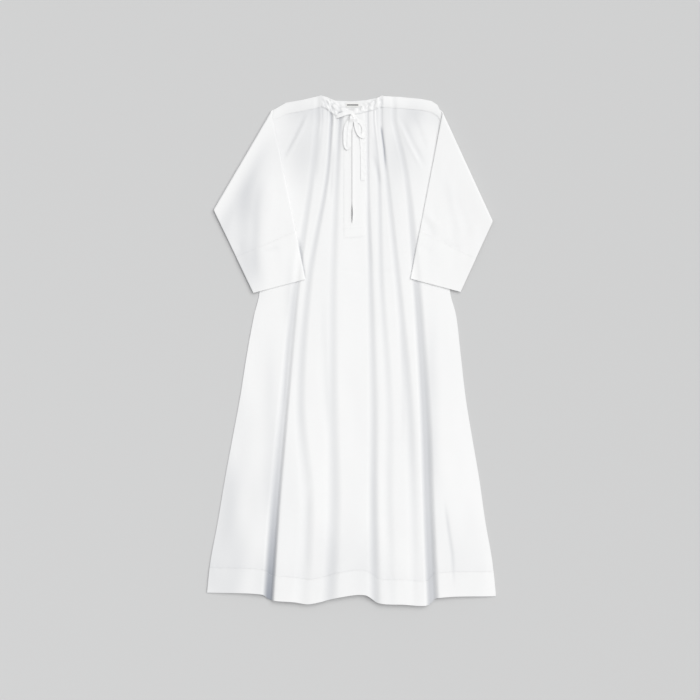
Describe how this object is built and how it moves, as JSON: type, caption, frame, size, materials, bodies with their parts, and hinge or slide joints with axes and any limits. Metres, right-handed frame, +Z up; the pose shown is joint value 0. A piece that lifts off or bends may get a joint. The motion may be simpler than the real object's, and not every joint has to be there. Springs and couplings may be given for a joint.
{
  "type": "alb robe",
  "caption": "Long loose white robe laid flat on its back, with a gathered neck, slit front, tie bow, deep hem and both sleeves folded over the front.",
  "frame": {"origin": "on the floor, under the middle of the robe's outline", "axes": "+X across the robe, +Y from the hem towards the neck, +Z up from the floor out of the front"},
  "size_m": [0.8364, 1.4778, 0.018],
  "materials": {
    "cotton": "plain woven white cotton, matt",
    "double_cotton": "the same cotton, double, with stitched edges",
    "tape": "narrow woven cotton tape",
    "label": "small woven satin label with a plain mark"
  },
  "bodies": {
    "root": {"back_body": "cotton", "front_body": "cotton", "strap_left": "double_cotton", "strap_right": "double_cotton", "sleeve_left": "cotton", "sleeve_right": "cotton", "cuff_left": "double_cotton", "cuff_right": "double_cotton", "hem_front": "double_cotton", "hem_back": "double_cotton", "placket": "double_cotton", "casing_left": "double_cotton", "casing_right": "double_cotton", "casing_back": "double_cotton", "neck_label": "label", "tie_knot": "tape", "tie_loop_left": "tape", "tie_loop_right": "tape", "tie_tail_left": "tape", "tie_tail_right": "tape", "tie_strand": "tape"}
  },
  "joints": []
}
